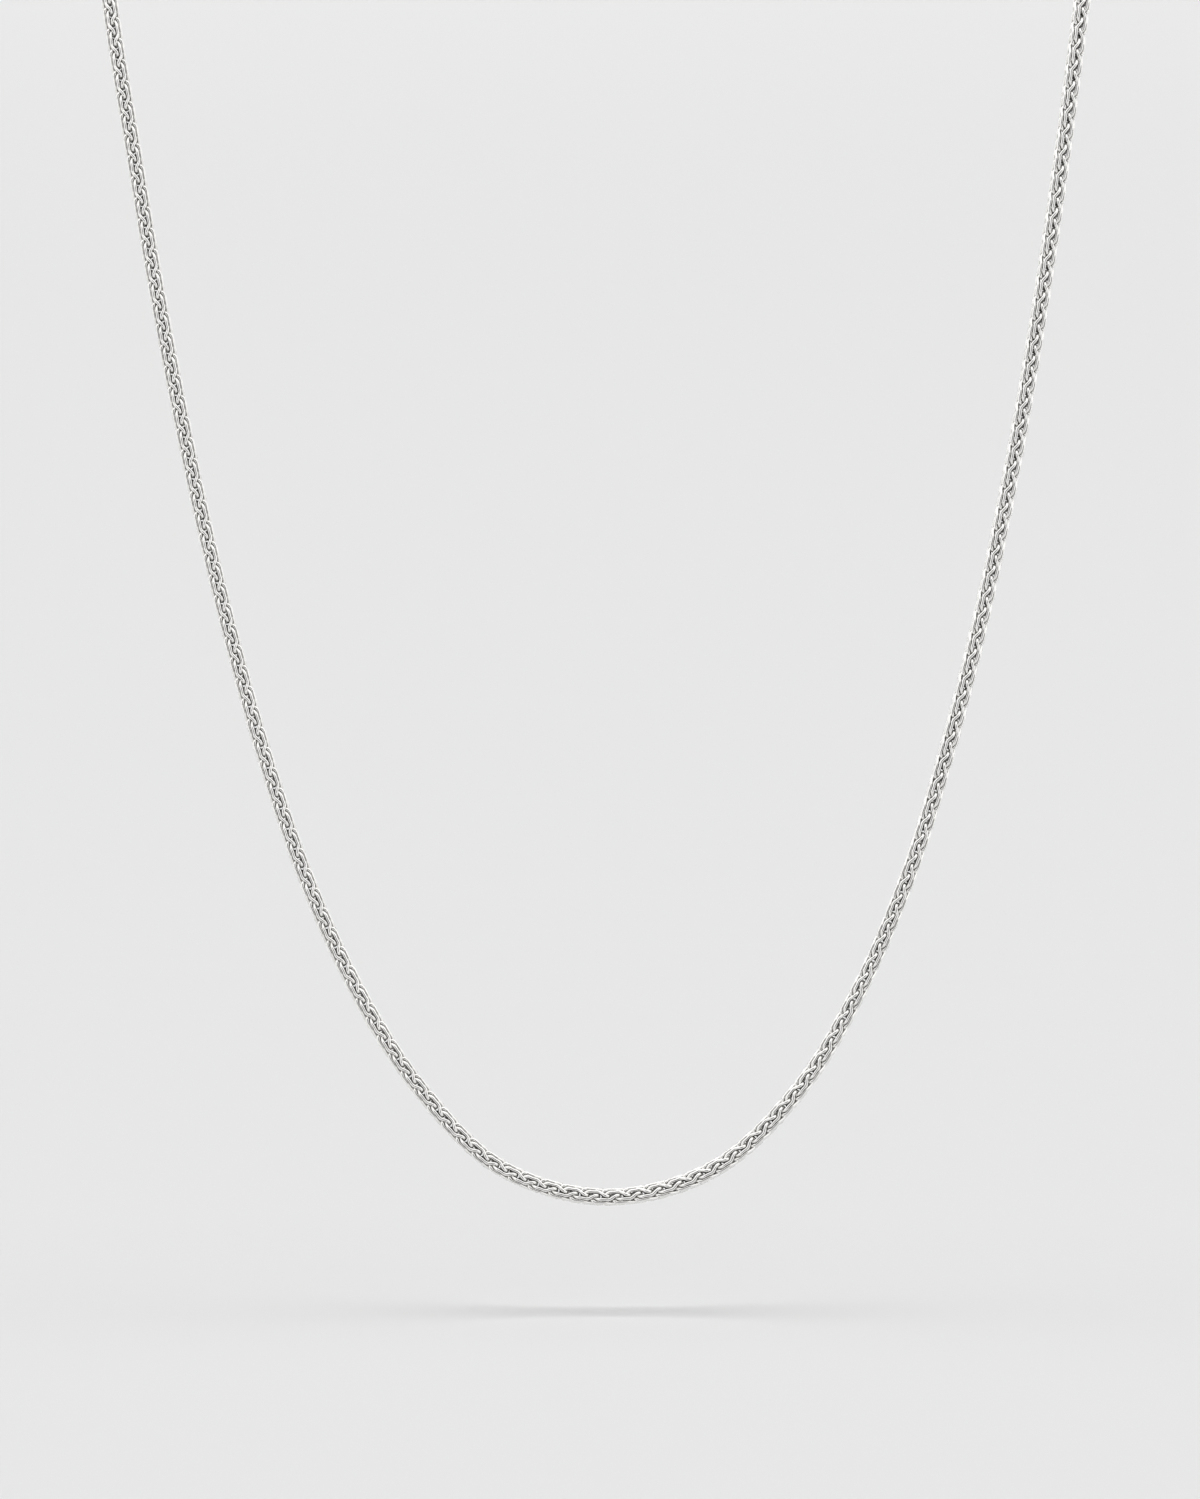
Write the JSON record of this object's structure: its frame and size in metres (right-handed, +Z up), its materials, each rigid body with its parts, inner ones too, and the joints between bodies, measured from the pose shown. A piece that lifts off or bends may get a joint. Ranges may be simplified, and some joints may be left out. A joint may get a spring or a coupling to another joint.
{
  "type": "wheat chain necklace",
  "caption": "Fine neck chain of four columns of folded wire links, hanging as a closed loop from the nape with a plain barrel clasp.",
  "frame": {"origin": "the point of the clasp that rests on the back of the neck, level with the middle of the barrel", "axes": "+Z up, the front of the chain faces -Y, +X is to the right as seen from the front"},
  "size_m": [0.1242, 0.0588, 0.1789],
  "materials": {
    "chain_silver": "polished silver wire with a bright white plating",
    "clasp_silver": "polished silver with a bright white plating"
  },
  "bodies": {
    "root": {"chain_left": "chain_silver", "chain_right": "chain_silver", "clasp": "clasp_silver"}
  },
  "joints": []
}
